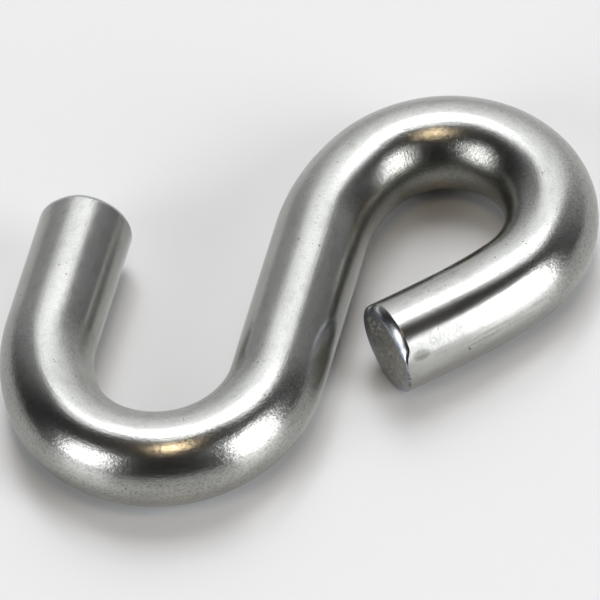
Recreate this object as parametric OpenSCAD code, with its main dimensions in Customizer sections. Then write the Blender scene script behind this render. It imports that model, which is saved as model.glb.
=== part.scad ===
// S hook bent from one length of round steel bar, lying flat.
// X runs along its overall length and Z is up. The origin is on the surface that it lies on,
// under the middle of its outline. The eye, the bend that is nearly closed, is towards +X.

/* [Bar] */
// Diameter of the round bar
bar_d = 8; // [4:0.5:12]
// Chamfer round the rim of each cut end
end_chamfer = 0.5; // [0.2:0.1:1.5]

/* [Spine] */
// Length of the straight stretch between the two bends
spine_len = 16; // [8:0.5:40]
// Angle from the overall length to the spine, seen from above
spine_angle = 43; // [20:0.5:70]

/* [Eye] */
// Inside radius of the easy curve that leaves the spine
eye_entry_r = 12; // [6:0.5:30]
// Angle of that curve
eye_entry_angle = 29; // [15:0.5:45]
// Inside radius of the tight crown
eye_crown_r = 5; // [3:0.25:10]
// Angle of the crown
eye_crown_angle = 188; // [175:0.5:200]
// Inside radius of the slack curve beyond the crown
eye_exit_r = 36; // [16:1:80]
// Angle of that curve
eye_exit_angle = 9; // [4:0.5:15]
// Inside radius of the slight bow in the eye's leg
eye_leg_r = 296; // [150:1:600]
// Gap that stays open between the leg's cut end and the side of the spine
eye_gap = 1.5; // [0.5:0.1:3]

/* [Hook] */
// Inside radius of the curve that leaves the spine
hook_entry_r = 7; // [5:0.5:16]
// Angle of that curve
hook_entry_angle = 38; // [20:0.5:60]
// Inside radius of the crown
hook_crown_r = 5.25; // [3:0.25:12]
// Inside radius of the curve that runs out into the leg
hook_exit_r = 10; // [6:0.5:24]
// Angle of that curve
hook_exit_angle = 35; // [15:0.5:60]
// Length of the straight leg, which is parallel to the spine
hook_leg = 12.5; // [4:0.25:24]

/* [Hidden] */
$fn = 96;
steel = [0.66, 0.65, 0.62];
bar_r = bar_d / 2;
// How far a cutting tool reaches past the surfaces that it cuts
tool_margin = 0.5;
// Angle between the points of a bend that give the outline's box
box_step = 0.5;

// The bar is drawn with its spine along X and its middle at the origin, and both bends turn left.
// A pose is [x, y, heading] on its centreline, and a bend is [centreline radius, angle].
function centre_of(pose, radius) =
    [pose[0] - radius * sin(pose[2]), pose[1] + radius * cos(pose[2])];
function after_bend(pose, radius, angle) =
    let (centre = centre_of(pose, radius), heading = pose[2] + angle)
    [centre[0] + radius * sin(heading), centre[1] - radius * cos(heading), heading];
function after_bends(pose, bends, count) =
    count == 0
        ? pose
        : after_bend(
            after_bends(pose, bends, count - 1), bends[count - 1][0], bends[count - 1][1]);

eye_start = [spine_len / 2, 0, 0];
eye_curves = [
    [eye_entry_r + bar_r, eye_entry_angle],
    [eye_crown_r + bar_r, eye_crown_angle],
    [eye_exit_r + bar_r, eye_exit_angle]
];
// The leg runs on until the inner corner of its cut end is eye_gap from the spine's side
eye_leg_start = after_bends(eye_start, eye_curves, len(eye_curves));
eye_leg_centre = centre_of(eye_leg_start, eye_leg_r + bar_r);
eye_cut_heading = 360 - acos((eye_leg_centre[1] - bar_r - eye_gap) / eye_leg_r);
eye_bends = concat(eye_curves, [[eye_leg_r + bar_r, eye_cut_heading - eye_leg_start[2]]]);
eye_cut = after_bends(eye_start, eye_bends, len(eye_bends));

hook_start = [-spine_len / 2, 0, 180];
hook_crown_angle = 180 - hook_entry_angle - hook_exit_angle;
hook_bends = [
    [hook_entry_r + bar_r, hook_entry_angle],
    [hook_crown_r + bar_r, hook_crown_angle],
    [hook_exit_r + bar_r, hook_exit_angle]
];
hook_leg_start = after_bends(hook_start, hook_bends, len(hook_bends));
hook_cut = [hook_leg_start[0] + hook_leg, hook_leg_start[1], hook_leg_start[2]];

// Points on both sides of the bar, for the box of its outline
function sides(pose, half_width) = [
    [pose[0] - half_width * sin(pose[2]), pose[1] + half_width * cos(pose[2])],
    [pose[0] + half_width * sin(pose[2]), pose[1] - half_width * cos(pose[2])]
];
function bend_sides(start, bends) = [
    for (i = [0 : len(bends) - 1])
        for (angle = [0 : box_step : bends[i][1]])
            each sides(after_bend(after_bends(start, bends, i), bends[i][0], angle), bar_r)
];
function cut_sides(cut) = concat(
    sides(cut, bar_r - end_chamfer),
    sides([
        cut[0] - end_chamfer * cos(cut[2]),
        cut[1] - end_chamfer * sin(cut[2]),
        cut[2]
    ], bar_r));
// Where a point goes when the bar is turned over and laid with its overall length along X
function laid(p) = [
    p[0] * cos(spine_angle) + p[1] * sin(spine_angle),
    p[0] * sin(spine_angle) - p[1] * cos(spine_angle)
];
outline = [
    for (p = concat(
        bend_sides(eye_start, eye_bends), cut_sides(eye_cut),
        bend_sides(hook_start, hook_bends), cut_sides(hook_cut)))
        laid(p)
];
x_values = [for (p = outline) p[0]];
y_values = [for (p = outline) p[1]];
middle = [min(x_values) + max(x_values), min(y_values) + max(y_values)] / 2;

// Moves in two steps, hundredths first and then the rest, so that a place keeps more figures
// than one printed number does and neighbouring runs meet face to face
module place(p) {
    near = [round(p[0] * 100) / 100, round(p[1] * 100) / 100, 0];
    translate(near)
        translate([p[0], p[1], 0] - near)
            children();
}

module straight(pose, length) {
    place(pose)
        rotate([0, 90, pose[2]])
            cylinder(h = length, r = bar_r);
}

module bend(pose, radius, angle) {
    place(centre_of(pose, radius))
        rotate_extrude(angle = angle, start = pose[2] - 90)
            translate([radius, 0])
                circle(r = bar_r);
}

module arm(start, bends) {
    for (i = [0 : len(bends) - 1])
        bend(after_bends(start, bends, i), bends[i][0], bends[i][1]);
}

// Ring that takes the rim off a cut end
module rim_cutter(cut) {
    place(cut)
        rotate([0, 90, cut[2]])
            rotate_extrude()
                polygon([
                    [bar_r - end_chamfer - tool_margin, tool_margin],
                    [bar_r + tool_margin, -end_chamfer - tool_margin],
                    [bar_r + tool_margin, tool_margin]
                ]);
}

module s_hook() {
    color(steel)
        translate([-middle[0], -middle[1], bar_r])
            rotate([0, 0, spine_angle])
                mirror([0, 1, 0])
                    difference() {
                        union() {
                            straight([-spine_len / 2, 0, 0], spine_len);
                            arm(eye_start, eye_bends);
                            arm(hook_start, hook_bends);
                            straight(hook_leg_start, hook_leg);
                        }
                        rim_cutter(eye_cut);
                        rim_cutter(hook_cut);
                    }
}

s_hook();
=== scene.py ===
from math import acos, cos, degrees, pi, radians, sin

import bpy
import numpy as np
from mathutils import Matrix, Vector, noise


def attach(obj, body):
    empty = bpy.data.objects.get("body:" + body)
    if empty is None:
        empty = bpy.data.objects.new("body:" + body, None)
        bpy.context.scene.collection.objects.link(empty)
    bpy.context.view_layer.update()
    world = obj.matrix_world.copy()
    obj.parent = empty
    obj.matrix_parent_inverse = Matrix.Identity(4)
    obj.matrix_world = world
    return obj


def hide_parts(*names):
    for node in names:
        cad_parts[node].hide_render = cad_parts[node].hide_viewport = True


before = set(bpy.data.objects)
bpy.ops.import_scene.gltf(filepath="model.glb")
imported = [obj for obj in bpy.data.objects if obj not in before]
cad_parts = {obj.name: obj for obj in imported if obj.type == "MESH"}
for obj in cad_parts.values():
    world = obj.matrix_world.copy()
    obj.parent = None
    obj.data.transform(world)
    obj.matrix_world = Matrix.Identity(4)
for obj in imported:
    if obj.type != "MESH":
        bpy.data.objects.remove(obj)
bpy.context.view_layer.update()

# Lengths of the bar are in millimetres, and everything that Blender gets is in metres
MM = 0.001

# The bar's route, as the solid has it: inside radii and angles of the bends
BAR_R = 4.0
SPINE_LEN = 16.0
SPINE_ANGLE = 43
EYE_BENDS = [(12.0, 29), (5.0, 188), (36.0, 9)]
EYE_LEG_R = 296.0
EYE_GAP = 1.5
HOOK_BENDS = [(7.0, 38), (5.25, 107), (10.0, 35)]
HOOK_LEG = 12.5
END_CHAMFER = 0.5
TIGHTEST_BEND = 1 / (EYE_BENDS[1][0] + BAR_R)

# Steel doesn't bend at once: the curvature comes on over about this length
EASE = 0.45
ROUTE_STEP = 0.01
ROUTE_MARGIN = 6.0
# Which way the shears dragged across the eye's cut face, by the angle round the bar
DRAG_ANGLE = 128

# The swept mesh: rings lie RING_STEP apart along the bar, and closer together in the zone by
# each cut end, round its corner and over its face
SEGMENTS = 112
RING_STEP = 0.16
END_ZONE = 2.6
SIDE_RINGS = 14
SIDE_CROWDING = 1.8
ROUND_RINGS = 12
FACE_RINGS = 26

# Relief in mm: how far the surface lies under the solid's, how much deeper the bending tool
# pressed the inside of the crowns, and the heights of the broad wave and of the fine ripple
SKIN_DEPTH = 0.03
PRESS_DEPTH = 0.05
WAVE_HEIGHT = 0.012
RIPPLE_HEIGHT = 0.004
# The pressing fades out over this length of bar
PRESS_SPREAD = 1.8
PRESS_REACH = 5.0
# Dish of the cut faces: its depth, and the part of it that the torn surface varies
DISH_DEPTH = 0.07
DISH_ROUGH = 0.06

# Stretches round the bar, as (middle, half width, soft edge) in degrees
HOOK_OUTER = (0, 50, 40)
EYE_ROLLED = (91, 46, 17)
EYE_SHARP = (182, 14, 22)

# The photograph's view: angles in degrees, places in pixels of its 600 x 600 frame
IMAGE_SIZE = 600
VIEW_AZIMUTH = -29.1313
VIEW_ELEVATION = 48.7726
VIEW_ROLL = 5.9375
VIEW_DISTANCE = 1.5
FOCAL_PIXELS = 17941.11
SPINE_MIDDLE_PIXEL = (298.694, 308.743)
SENSOR_WIDTH = 36


def runs_of(bends):
    """Bends as runs of (curvature, length) of the bar's centreline."""
    return [(1 / (r + BAR_R), (r + BAR_R) * radians(angle)) for r, angle in bends]


def eye_leg_angle():
    """How far the eye's leg bows, until its cut end stands the gap away from the spine's side."""
    height = 0.0
    heading = 0.0
    for inside, angle in EYE_BENDS:
        turned = heading + radians(angle)
        height += (inside + BAR_R) * (cos(heading) - cos(turned))
        heading = turned
    centre = height + (EYE_LEG_R + BAR_R) * cos(heading)
    cut = 2 * pi - acos((centre - BAR_R - EYE_GAP) / EYE_LEG_R)
    return degrees(cut - heading)


# Both arms start at the spine's middle
EYE_RUNS = [(0.0, SPINE_LEN / 2)] + runs_of(EYE_BENDS + [(EYE_LEG_R, eye_leg_angle())])
HOOK_RUNS = [(0.0, SPINE_LEN / 2)] + runs_of(HOOK_BENDS) + [(0.0, HOOK_LEG)]
EYE_ARM = sum(length for _, length in EYE_RUNS)
HOOK_ARM = sum(length for _, length in HOOK_RUNS)


def heading_vector(heading):
    return np.stack([np.cos(heading), np.sin(heading)], -1)


def laid(p):
    """Where places or directions of the drawn plane go when the hook is laid along X."""
    a = radians(SPINE_ANGLE)
    x = p[..., 0] * cos(a) + p[..., 1] * sin(a)
    y = p[..., 0] * sin(a) - p[..., 1] * cos(a)
    return np.stack([x, y], -1)


class Route:
    """The bar's centreline by t, the distance in mm from the spine's middle.
    t is positive towards the eye's cut end and negative towards the open hook's."""

    def __init__(self, ease):
        self.t = np.arange(-HOOK_ARM - ROUTE_MARGIN, EYE_ARM + ROUTE_MARGIN, ROUTE_STEP)
        self.bend = np.zeros(len(self.t))
        for sign, runs in ((1, EYE_RUNS), (-1, HOOK_RUNS)):
            start = 0.0
            for curvature, length in runs:
                self.bend[sign * self.t >= start] = sign * curvature
                start += length
        if ease:
            count = round(4 * ease / ROUTE_STEP)
            window = np.exp(-0.5 * (np.arange(-count, count + 1) * ROUTE_STEP / ease) ** 2)
            self.bend = np.convolve(self.bend, window / window.sum(), "same")
        self.heading = self.summed(self.bend)
        self.place = self.summed(heading_vector(self.heading))

    def summed(self, values):
        """Integral along t, with 0 at the spine's middle."""
        total = (np.cumsum(values, 0) - 0.5 * values) * ROUTE_STEP
        return total - total[np.argmin(np.abs(self.t))]

    def at(self, t):
        """Centre, direction along the bar, direction to the eye bend's inside, and curvature."""
        heading = np.interp(t, self.t, self.heading)
        place = np.stack([np.interp(t, self.t, self.place[:, i]) for i in (0, 1)], -1)
        along = laid(heading_vector(heading))
        side = laid(heading_vector(heading + pi / 2))
        return laid(place), along, side, np.interp(t, self.t, self.bend)


def outline_middle(route):
    """Middle of the box round the hook's outline, which is the row's origin."""
    edge = []
    full = np.linspace(-HOOK_ARM + END_CHAMFER, EYE_ARM - END_CHAMFER, 4000)
    for t, half in ((full, BAR_R), (np.array([-HOOK_ARM, EYE_ARM]), BAR_R - END_CHAMFER)):
        centre, _, side, _ = route.at(t)
        edge += [centre + half * side, centre - half * side]
    edge = np.vstack(edge)
    return (edge.min(0) + edge.max(0)) / 2


MIDDLE = outline_middle(Route(0))
ROUTE = Route(EASE)


# Camera

def make_camera():
    a, e, roll = (radians(x) for x in (VIEW_AZIMUTH, VIEW_ELEVATION, VIEW_ROLL))
    forward = Vector((-sin(a) * cos(e), cos(a) * cos(e), -sin(e)))
    level = Vector((cos(a), sin(a), 0))
    down = forward.cross(level)
    right = level * cos(roll) + down * sin(roll)
    down = down * cos(roll) - level * sin(roll)
    centre = ROUTE.at(0.0)[0]
    spine_middle = Vector((*((centre - MIDDLE) * MM), BAR_R * MM))
    beside = (SPINE_MIDDLE_PIXEL[0] - IMAGE_SIZE / 2) / FOCAL_PIXELS
    below = (SPINE_MIDDLE_PIXEL[1] - IMAGE_SIZE / 2) / FOCAL_PIXELS
    place = spine_middle - VIEW_DISTANCE * (forward + beside * right + below * down)
    data = bpy.data.cameras.new("camera")
    data.sensor_width = SENSOR_WIDTH
    data.lens = FOCAL_PIXELS * SENSOR_WIDTH / IMAGE_SIZE
    data.clip_start = 0.1
    data.clip_end = 20
    camera = bpy.data.objects.new("camera", data)
    turn = Matrix((right, -down, -forward)).transposed()
    camera.matrix_world = Matrix.Translation(place) @ turn.to_4x4()
    bpy.context.scene.collection.objects.link(camera)
    bpy.context.scene.camera = camera


make_camera()


# Bar

def rows_along():
    """(distance along the bar, share of the corner, share of the cut face) of each ring."""
    ends = []
    for end, inward in ((-HOOK_ARM, 1), (EYE_ARM, -1)):
        shares = [(1 - i / SIDE_RINGS) ** SIDE_CROWDING for i in range(SIDE_RINGS)]
        part = [(end + inward * END_ZONE * share, 0.0, 0.0) for share in shares]
        part += [(end, i / ROUND_RINGS, 0.0) for i in range(ROUND_RINGS + 1)]
        part += [(end, 1.0, i / FACE_RINGS) for i in range(1, FACE_RINGS)]
        ends.append(part)
    hook, eye = ends
    first = -HOOK_ARM + END_ZONE
    last = EYE_ARM - END_ZONE
    count = round((last - first) / RING_STEP)
    body = [(first + (last - first) * i / count, 0.0, 0.0) for i in range(1, count)]
    return np.array(hook[::-1] + body + eye)


def plateau(theta, middle, half, soft):
    """1 within half degrees of the middle angle, then smoothly down to 0 over the soft degrees."""
    away = np.abs((np.degrees(theta) - middle + 180) % 360 - 180)
    share = np.clip((half + soft - away) / soft, 0, 1)
    return share * share * (3 - 2 * share)


def fbm(points, scale, seed, octaves=3):
    """Smooth noise about 0 at each point, for relief too large for the material's bump."""
    shift = Vector((seed * 17.3, seed * 9.1, seed * 5.7))
    return np.array([noise.fractal(Vector(p) * scale + shift, 1.0, 2.0, octaves) for p in points])


# Corners of the cut ends: (mm along the bar, mm towards the middle, how flat the bevel is) by
# the angle round the bar, where 0 is the inside of the eye's bend and 90 is up
def hook_corner(theta):
    outer = plateau(theta, *HOOK_OUTER)
    size = 0.6 + 0.35 * outer
    return size, size, 0 * theta


def eye_corner(theta):
    """The shears rolled the upper side over and left a crisp edge there, and a sharp rim below."""
    rolled = plateau(theta, *EYE_ROLLED)
    ring = np.stack([np.cos(theta), np.sin(theta), 0 * theta], -1)
    uneven = fbm(ring, 3.0, 5, 3)
    sharp = plateau(theta, *EYE_SHARP)
    long = 0.32 - 0.2 * sharp + (0.44 + 0.04 * uneven) * rolled
    deep = 0.30 - 0.18 * sharp + 0.42 * rolled
    return long, deep, 0.55 * rolled


def make_bar():
    rows = rows_along()
    t = rows[:, 0]
    turn = rows[:, 1][:, None]
    face = rows[:, 2][:, None]
    theta = np.arange(SEGMENTS) * 2 * pi / SEGMENTS
    ring = np.ones(SEGMENTS)

    onward = t[:, None] * ring
    outward = BAR_R * np.ones((len(rows), SEGMENTS))
    for end, inward, corner in ((-HOOK_ARM, 1, hook_corner), (EYE_ARM, -1, eye_corner)):
        long, deep, flat = corner(theta)
        near = np.abs(t - end) < END_ZONE + 1e-9
        zone = np.abs(t[near] - end)[:, None] / END_ZONE
        share = turn[near]
        back = flat * share + (1 - flat) * np.sin(share * pi / 2)
        down = flat * share + (1 - flat) * (1 - np.cos(share * pi / 2))
        onward[near] = end + inward * (zone * (END_ZONE - long) + long * (1 - back))
        outward[near] = (BAR_R - deep * down) * (1 - face[near])

    bar = np.stack([onward, outward * np.cos(theta), outward * np.sin(theta)], -1)
    bend = ROUTE.at(onward)[3] / TIGHTEST_BEND
    strain = bend * np.cos(theta)
    flat_bar = bar.reshape(-1, 3)
    shape = onward.shape
    wave = fbm(flat_bar * (0.35, 1, 1), 0.28, 1, 2).reshape(shape)
    ripple = fbm(flat_bar, 1.1, 2, 2).reshape(shape) * (0.3 + np.abs(strain))
    rough = fbm(flat_bar, 1.6, 3, 4).reshape(shape)
    # the crowns are pressed a little flat on the inside, where the bending tool bore
    spread = np.convolve(ROUTE.bend, press_window(), "same") / TIGHTEST_BEND
    pressed = np.interp(onward, ROUTE.t, spread)
    inside = 0.5 + 0.5 * np.cos(theta) * np.sign(pressed)
    relief = -SKIN_DEPTH - PRESS_DEPTH * np.abs(pressed) * inside ** 2
    relief = relief + WAVE_HEIGHT * wave + RIPPLE_HEIGHT * ripple
    radial = outward * (1 + relief / BAR_R)
    dished = face ** 0.5 * (DISH_DEPTH + DISH_ROUGH * rough)
    centre, _, side, _ = ROUTE.at(onward - np.sign(onward) * dished)

    across = centre - MIDDLE + (radial * np.cos(theta))[..., None] * side
    up = BAR_R + radial * np.sin(theta)
    points = np.concatenate([across, up[..., None]], -1).reshape(-1, 3) * MM
    points = np.vstack([points, points[:SEGMENTS].mean(0), points[-SEGMENTS:].mean(0)])
    mesh = bpy.data.meshes.new("s_hook_bar")
    mesh.from_pydata(points.tolist(), [], bar_faces(len(rows)))
    mesh.update()
    for polygon in mesh.polygons:
        polygon.use_smooth = True

    tips = np.array([[t[0], 0, 0], [t[-1], 0, 0]])
    attribute = mesh.attributes.new("bar", "FLOAT_VECTOR", "POINT")
    attribute.data.foreach_set("vector", np.vstack([flat_bar, tips]).astype(np.float32).ravel())
    sheared = np.clip(face * 6, 0, 1) * ring
    for name, values in (("strain", strain), ("sheared", sheared), ("corner", turn * ring - sheared)):
        values = np.append(values.ravel(), [values[0, 0], values[-1, 0]])
        attribute = mesh.attributes.new(name, "FLOAT", "POINT")
        attribute.data.foreach_set("value", values.astype(np.float32))
    piece = bpy.data.objects.new("s_hook_bar", mesh)
    bpy.context.scene.collection.objects.link(piece)
    return piece


def press_window():
    """Weights that spread the tool's pressing along the bar."""
    away = np.arange(-PRESS_REACH, PRESS_REACH, ROUTE_STEP)
    window = np.exp(-0.5 * (away / PRESS_SPREAD) ** 2)
    return window / window.sum()


def bar_faces(row_count):
    """Quads between the rings, and a fan of triangles at each tip."""
    faces = []
    for i in range(row_count - 1):
        for j in range(SEGMENTS):
            k = (j + 1) % SEGMENTS
            here = i * SEGMENTS
            there = here + SEGMENTS
            faces.append((here + j, here + k, there + k, there + j))
    hub = row_count * SEGMENTS
    for j in range(SEGMENTS):
        k = (j + 1) % SEGMENTS
        faces.append((hub, k, j))
        faces.append((hub + 1, hub - SEGMENTS + j, hub - SEGMENTS + k))
    return faces


# Materials

# Marks on the eye's leg: place as (mm from the cut end, degrees from the top), then their half
# length in mm and half width in degrees
# a painted shadow of the cut end's crisp corner, placed and sized as the marks are
CORNER_SHADOW_SPOT = ((1.55, 62), 1.0, 8.5)
NICK = ((5.8, 86), 0.14, 3.4)
LONG_SCORE = ((10.2, 75), 5.6, 3.4)
SHORT_SCORE = ((7.6, 81), 3.6, 2.4)
RIM_NICKS = ((0.08, 92), 0.16, 20)
# Painted highlights on the eye's cut face: middle and half sizes in mm, along the drag and across it
FACE_HIGHLIGHTS = ((0.1, -2.3), (2.6, 1.2))

# Colours of the steel, linear
STEEL_DARK = (0.403, 0.403, 0.378, 1)
STEEL_LIGHT = (0.483, 0.483, 0.463, 1)
SMUDGE_COLOUR = (0.34, 0.345, 0.315, 1)
# painted shade in the hollows on the inside of the bends
BEND_HOLLOW_SHADE = (0.26, 0.26, 0.225, 1)
SPECKLE_COLOUR = (0.17, 0.17, 0.15, 1)
TORN_DARK = (0.27, 0.27, 0.245, 1)
TORN_LIGHT = (0.50, 0.495, 0.455, 1)
GLINT_COLOUR = (0.75, 0.75, 0.74, 1)
# near-white painted highlight on the eye's cut face
FACE_HIGHLIGHT_COLOUR = (0.92, 0.92, 0.92, 1)
# painted dark blue reflection on the corners of the cut ends
CORNER_BLUE_REFLECTION = (0.35, 0.39, 0.51, 1)
PIT_COLOUR = (0.10, 0.10, 0.085, 1)
RIM_COLOUR = (0.08, 0.08, 0.07, 1)
# colour of the painted shadow behind the eye's cut end
CORNER_SHADOW_COLOUR = (0.21, 0.21, 0.19, 1)
NICK_COLOUR = (0.20, 0.13, 0.10, 1)
SCORE_COLOUR = (0.20, 0.19, 0.17, 1)

# Heights of the surface's bumps in mm, which the noises scale
LINE_BUMP = 0.006
PEEL_BUMP = 0.012
GRAIN_BUMP = 0.015
PIT_DENT = -0.02
NICK_DENT = -0.05
SCORE_DENT = -0.002


class Nodes:
    """Short calls that add nodes to a material's or the world's tree."""

    def __init__(self, tree):
        self.tree = tree
        tree.nodes.clear()

    def add(self, kind, inputs=None, **settings):
        node = self.tree.nodes.new(kind)
        for name, value in settings.items():
            setattr(node, name, value)
        for name, value in (inputs or {}).items():
            self.put(node.inputs[name], value)
        return node

    def put(self, socket, value):
        if isinstance(value, bpy.types.NodeSocket):
            self.tree.links.new(value, socket)
        else:
            socket.default_value = value

    def math(self, operation, a, b=0.0):
        return self.add("ShaderNodeMath", {0: a, 1: b}, operation=operation).outputs[0]

    def attribute(self, name, output):
        return self.add("ShaderNodeAttribute", attribute_name=name).outputs[output]

    def stretch(self, vector, scale):
        node = self.add("ShaderNodeVectorMath", {0: vector, 1: scale}, operation="MULTIPLY")
        return node.outputs[0]

    def noise(self, vector, scale, detail=3.0, roughness=0.5):
        inputs = {"Vector": vector, "Scale": scale, "Detail": detail, "Roughness": roughness}
        return self.add("ShaderNodeTexNoise", inputs).outputs[0]

    def range(self, value, low, high, to_low=0.0, to_high=1.0):
        inputs = {0: value, 1: low, 2: high, 3: to_low, 4: to_high}
        return self.add("ShaderNodeMapRange", inputs, interpolation_type="SMOOTHSTEP").outputs[0]

    def mix(self, share, a, b):
        node = self.add("ShaderNodeMix", data_type="RGBA")
        for i, value in ((0, share), (6, a), (7, b)):
            self.put(node.inputs[i], value)
        return node.outputs[2]

    def plus(self, total, parts):
        """The total with each part added, times its weight."""
        for value, weight in parts:
            total = self.math("ADD", total, self.math("MULTIPLY", value, weight))
        return total

    def facing(self, direction, towards_place):
        """Cosine of the angle between two directions."""
        inputs = {0: direction, 1: towards_place}
        node = self.add("ShaderNodeVectorMath", inputs, operation="DOT_PRODUCT")
        return node.outputs["Value"]


def oval(n, first, second, middle, halves):
    """Soft oval mark over two coordinates: 1 in its middle."""
    u = n.math("DIVIDE", n.math("SUBTRACT", first, middle[0]), halves[0])
    v = n.math("DIVIDE", n.math("SUBTRACT", second, middle[1]), halves[1])
    away = n.math("ADD", n.math("MULTIPLY", u, u), n.math("MULTIPLY", v, v))
    return n.range(away, 0.15, 1.0, 1.0, 0.0)


def spot(n, along, round_angle, place, half_length, half_angle):
    """Soft mark on the bar. The place is (mm from the eye's cut end, degrees from the top)."""
    return oval(n, along, round_angle, (EYE_ARM - place[0], place[1]), (half_length, half_angle))


def bump(n, height, distance, normal=None):
    """A bump whose distance is in mm, as the bar's coordinates are."""
    inputs = {"Strength": 1.0, "Distance": distance * MM, "Height": height}
    if normal:
        inputs["Normal"] = normal
    return n.add("ShaderNodeBump", inputs).outputs[0]


def steel_material():
    material = bpy.data.materials.new("bright_steel")
    material.use_nodes = True
    n = Nodes(material.node_tree)
    # the straightened bar's own coordinates: mm along it and across it
    bar = n.attribute("bar", "Vector")
    strain = n.attribute("strain", "Fac")
    sheared = n.attribute("sheared", "Fac")
    corner = n.attribute("corner", "Fac")
    axes = n.add("ShaderNodeSeparateXYZ", {0: bar})
    along = axes.outputs[0]
    turned = n.math("ARCTAN2", n.math("MULTIPLY", axes.outputs[1], -1.0), axes.outputs[2])
    round_angle = n.math("MULTIPLY", turned, 180 / pi)

    # what covers the whole bar; bending roughens it, and most where the steel was squeezed
    lines = n.noise(n.stretch(bar, (0.05, 1, 1)), 5.5, 4.0, 0.6)
    peel = n.noise(bar, 2.6, 2.0, 0.5)
    grain = n.noise(bar, 5.5, 3.0, 0.65)
    cloud = n.noise(n.stretch(bar, (0.4, 1, 1)), 0.35, 3.0, 0.5)
    worked = n.range(n.math("ABSOLUTE", strain), 0.0, 0.7, 0.22, 1.0)
    bend_inside = n.range(strain, 0.3, 1.0)
    scatter = n.add("ShaderNodeTexNoise", {"Vector": bar, "Scale": 6.0}).outputs[1]
    scattered = {"Vector": n.mix(0.12, bar, scatter), "Scale": 2.6}
    pit_cells = n.add("ShaderNodeTexVoronoi", scattered, feature="F1")
    pit_size = n.range(n.noise(bar, 0.9, 1.0), 0.42, 0.75, 0.0, 0.17)
    pit = n.math("LESS_THAN", pit_cells.outputs["Distance"], pit_size)

    # marks that the photograph shows on the eye's leg
    wavy = n.math("ADD", round_angle, n.math("MULTIPLY", n.math("SUBTRACT", cloud, 0.5), 9.0))
    # the dark spot behind the cut end is a painted shadow of its crisp corner
    corner_shadow = spot(n, along, wavy, *CORNER_SHADOW_SPOT)
    nick = spot(n, along, round_angle, *NICK)
    dash = n.range(n.noise(n.stretch(bar, (0.3, 1, 1)), 2.0, 4.0, 0.7), 0.34, 0.58)
    score = n.math("ADD", spot(n, along, wavy, *LONG_SCORE), spot(n, along, wavy, *SHORT_SCORE))
    scored = n.math("MULTIPLY", score, dash)
    rim = spot(n, along, round_angle, *RIM_NICKS)
    rim = n.math("MULTIPLY", rim, n.math("SUBTRACT", 1.0, sheared))
    rim = n.math("MULTIPLY", rim, n.range(n.noise(bar, 3.5, 2.0), 0.40, 0.58))

    # the cut faces are torn the way that the shears dragged
    turn_back = {"Vector": bar, "Axis": (1, 0, 0), "Angle": radians(-DRAG_ANGLE)}
    drag = n.add("ShaderNodeVectorRotate", turn_back).outputs[0]
    torn = n.range(n.noise(n.stretch(drag, (1, 0.4, 1)), 3.0, 5.0, 0.65), 0.32, 0.68)
    dragged = n.add("ShaderNodeSeparateXYZ", {0: drag})
    depth = dragged.outputs[2]
    # painted shade: the upper side of the cut is darker than the lower
    torn = n.math("MULTIPLY", torn, n.range(depth, -3.5, 2.5, 0.75, 1.0))
    cut = n.mix(torn, TORN_DARK, TORN_LIGHT)
    cut = n.mix(n.range(grain, 0.60, 0.68, 0.0, 0.6), cut, GLINT_COLOUR)
    # and painted highlights in streaks on the eye's cut face, beside the rolled corner
    face_highlight = oval(n, dragged.outputs[1], depth, *FACE_HIGHLIGHTS)
    face_highlight = n.math("MULTIPLY", face_highlight, n.math("GREATER_THAN", along, 0.0))
    streak = n.range(n.noise(n.stretch(drag, (1, 0.25, 1)), 3.2, 3.0, 0.6), 0.47, 0.60)
    cut = n.mix(n.math("MULTIPLY", face_highlight, streak), cut, FACE_HIGHLIGHT_COLOUR)

    plain = n.mix(cloud, STEEL_DARK, STEEL_LIGHT)
    smudge = n.range(n.noise(n.stretch(bar, (0.5, 1, 1)), 1.1, 4.0, 0.6), 0.45, 0.70, 0.0, 0.5)
    plain = n.mix(smudge, plain, SMUDGE_COLOUR)
    # the inside of each bend is painted darker, as shade in its hollow
    plain = n.mix(n.math("MULTIPLY", bend_inside, 0.55), plain, BEND_HOLLOW_SHADE)
    colour = n.mix(sheared, plain, cut)
    speckle = n.range(n.noise(bar, 5.6, 2.0, 0.7), 0.46, 0.66)
    speckle = n.math("MULTIPLY", speckle, n.plus(0.0, [(worked, 0.5), (bend_inside, 0.25)]))
    colour = n.mix(speckle, colour, SPECKLE_COLOUR)
    for share, weight, tint in (
            # the corners of the cut ends get a painted dark blue reflection
            (corner, 0.7, CORNER_BLUE_REFLECTION),
            (pit, 0.75, PIT_COLOUR),
            (rim, 0.85, RIM_COLOUR),
            (corner_shadow, 0.9, CORNER_SHADOW_COLOUR),
            (nick, 0.7, NICK_COLOUR),
            (scored, 0.38, SCORE_COLOUR)):
        colour = n.mix(n.math("MULTIPLY", share, weight), colour, tint)

    rough = n.plus(n.range(cloud, 0.3, 0.7, 0.165, 0.205), [
        (lines, 0.04), (worked, 0.02), (sheared, 0.20), (corner, 0.09), (scored, 0.08)])

    normal = bump(n, lines, LINE_BUMP)
    normal = bump(n, n.math("MULTIPLY", peel, worked), PEEL_BUMP, normal)
    grain_amount = n.plus(worked, [(sheared, 2.4), (bend_inside, 0.8), (corner, 1.5)])
    normal = bump(n, n.math("MULTIPLY", grain, grain_amount), GRAIN_BUMP, normal)
    dents = n.plus(0.0, [(pit, PIT_DENT), (nick, NICK_DENT), (scored, SCORE_DENT)])
    normal = bump(n, dents, 1.0, normal)

    shader = n.add("ShaderNodeBsdfPrincipled", {
        "Base Color": colour, "Metallic": 1.0, "Roughness": rough, "Normal": normal})
    out = n.add("ShaderNodeOutputMaterial")
    n.tree.links.new(shader.outputs[0], out.inputs["Surface"])
    return material


hook = make_bar()
hook.data.materials.append(steel_material())
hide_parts("s_hook")
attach(hook, "root")


# Studio

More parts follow.
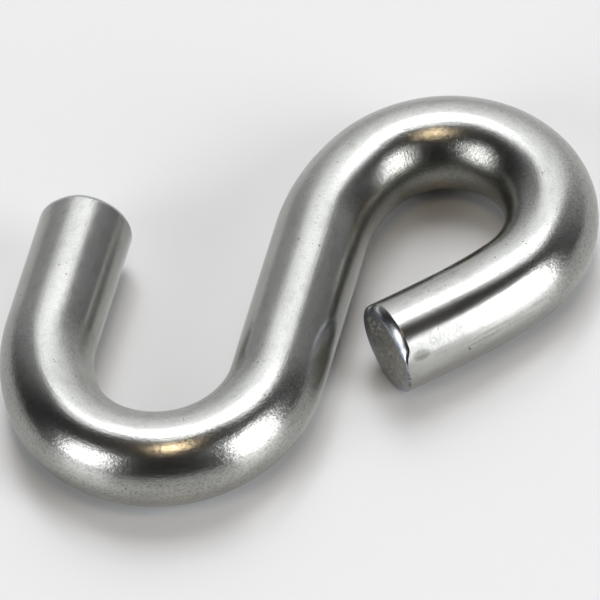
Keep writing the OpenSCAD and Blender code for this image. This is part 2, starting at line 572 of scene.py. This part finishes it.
FLOOR_SIZE = 8.0
FLOOR_COLOUR = (0.80, 0.80, 0.80, 1)
STUDIO_COLOUR = (0.97, 0.985, 1.015, 1)

# Side panels: middle (azimuth, elevation), half width, half height, soft edge, all in degrees,
# and lean. Their brightness follows.
LEFT_PANEL = ((182.7, 23.5), 14.9, 18, 10, 0.0)
LEFT_LIGHT = 4.2
RIGHT_PANEL = ((-60, 21.5), 14.2, 22, 10, 0.1)
RIGHT_LIGHT = 5.6
# Edges of the panel overhead: azimuth that each faces, its distance and its softness, in units
# of the panel's height
TOP_EDGES = [(50, 0.60, 0.34), (-130, -0.24, 0.2), (-40, 0.49, 0.22), (140, 0.41, 0.34)]
TOP_LIGHT = 2.85
# The pale back wall, and the cove where it meets the ceiling
WALL_AZIMUTH = 50
WALL_FALLOFF = 1.8
COVE_LIGHT = 2.3
# The small warm lamp
LAMP_AZIMUTH = -115
LAMP_ELEVATION = 73
LAMP_HALF_WIDTH = 2.7
LAMP_HALF_HEIGHT = 10
LAMP_LIGHT = 16.0
LAMP_COLOUR = (1.0, 0.78, 0.5, 1)


def towards(azimuth, elevation):
    """Direction in the row frame: azimuth from +X towards +Y, in degrees."""
    a = radians(azimuth)
    e = radians(elevation)
    return (cos(a) * cos(e), sin(a) * cos(e), sin(e))


def make_floor():
    h = FLOOR_SIZE / 2
    mesh = bpy.data.meshes.new("floor")
    mesh.from_pydata([(-h, -h, 0), (h, -h, 0), (h, h, 0), (-h, h, 0)], [], [(0, 1, 2, 3)])
    floor = bpy.data.objects.new("floor", mesh)
    bpy.context.scene.collection.objects.link(floor)
    material = bpy.data.materials.new("pale_floor")
    material.use_nodes = True
    n = Nodes(material.node_tree)
    shader = n.add("ShaderNodeBsdfPrincipled", {
        "Base Color": FLOOR_COLOUR, "Roughness": 0.28, "Specular IOR Level": 1.0})
    out = n.add("ShaderNodeOutputMaterial")
    n.tree.links.new(shader.outputs[0], out.inputs["Surface"])
    mesh.materials.append(material)


def side_panel(n, direction, elevation, centre, half_width, half_height, soft, lean):
    """A soft panel of light at the side: centre (azimuth, elevation), sizes and edge in degrees,
    and how far its middle moves in azimuth for each degree up."""
    ahead = n.facing(direction, towards(centre[0], 0))
    across = n.facing(direction, towards(centre[0] + 90, 0))
    above = n.math("SUBTRACT", elevation, radians(centre[1]))
    beside = n.math("ARCTAN2", across, ahead)
    beside = n.math("SUBTRACT", beside, n.math("MULTIPLY", above, lean))
    masks = []
    for value, half in ((beside, half_width), (above, half_height)):
        value = n.math("ABSOLUTE", value)
        masks.append(n.range(value, radians(half - soft / 2), radians(half + soft / 2), 1.0, 0.0))
    return n.math("MULTIPLY", *masks)


def top_panel(n, direction, height):
    """A soft level panel overhead, which its edges bound."""
    light = 1.0
    for azimuth, edge, soft in TOP_EDGES:
        across = n.facing(direction, towards(azimuth, 0))
        place = n.math("DIVIDE", across, n.math("MAXIMUM", height, 0.05))
        share = n.range(place, edge - soft / 2, edge + soft / 2, 1.0, 0.0)
        light = n.math("MULTIPLY", light, share)
    return light


def back_wall(n, direction, height):
    """Light of the pale wall behind, and of the cove above it."""
    flat = n.stretch(direction, (1, 1, 0))
    flat = n.add("ShaderNodeVectorMath", {0: flat}, operation="NORMALIZE").outputs[0]
    facing = n.facing(flat, towards(WALL_AZIMUTH, 0))
    aside = n.math("ARCCOSINE", facing)
    wall = n.math("POWER", n.math("MAXIMUM", facing, 0.0), WALL_FALLOFF)
    wall = n.math("MULTIPLY", wall, n.range(height, 0.35, 0.85, 0.76, 0.38))
    wall = n.math("MULTIPLY", wall, n.range(aside, radians(50), radians(80), 1.0, 0.4))
    cove = n.math("MULTIPLY", n.math("MULTIPLY", height, height), COVE_LIGHT)
    cove = n.math("MULTIPLY", cove, n.range(aside, radians(24), radians(40), 1.0, 0.0))
    return wall, cove


def warm_lamp(n, direction, height):
    """Light of the small lamp, an oval spot in the sky."""
    across = n.facing(direction, towards(LAMP_AZIMUTH + 90, 0))
    upward = n.facing(direction, towards(LAMP_AZIMUTH, LAMP_ELEVATION - 90))
    away = []
    for value, half in ((across, LAMP_HALF_WIDTH), (upward, LAMP_HALF_HEIGHT)):
        away.append(n.math("POWER", n.math("DIVIDE", value, sin(radians(half))), 2.0))
    warm = n.range(n.math("ADD", *away), 0.1, 1.2, LAMP_LIGHT, 0.0)
    return n.math("MULTIPLY", warm, n.math("GREATER_THAN", height, 0.0))


def make_studio():
    """Softboxes to the left, right and overhead, a pale back wall and a warm lamp, as a world."""
    world = bpy.data.worlds.new("studio")
    world.use_nodes = True
    bpy.context.scene.world = world
    n = Nodes(world.node_tree)
    direction = n.add("ShaderNodeTexCoord").outputs["Generated"]
    height = n.add("ShaderNodeSeparateXYZ", {0: direction}).outputs[2]
    elevation = n.math("ARCSINE", height)

    left = n.math("MULTIPLY", side_panel(n, direction, elevation, *LEFT_PANEL), LEFT_LIGHT)
    right = n.math("MULTIPLY", side_panel(n, direction, elevation, *RIGHT_PANEL), RIGHT_LIGHT)
    top = n.math("MULTIPLY", top_panel(n, direction, height), TOP_LIGHT)
    wall, cove = back_wall(n, direction, height)
    ceiling = n.range(height, 0.94, 0.99, 0.025, 0.06)
    strength = ceiling
    for light in (left, right, top, wall, cove):
        strength = n.math("ADD", strength, light)
    studio = n.add("ShaderNodeBackground", {"Color": STUDIO_COLOUR, "Strength": strength})
    warm = warm_lamp(n, direction, height)
    lamp = n.add("ShaderNodeBackground", {"Color": LAMP_COLOUR, "Strength": warm})
    both = n.add("ShaderNodeAddShader", {0: studio.outputs[0], 1: lamp.outputs[0]})
    out = n.add("ShaderNodeOutputWorld")
    n.tree.links.new(both.outputs[0], out.inputs["Surface"])


make_floor()
make_studio()
bpy.context.scene.view_settings.view_transform = "Standard"
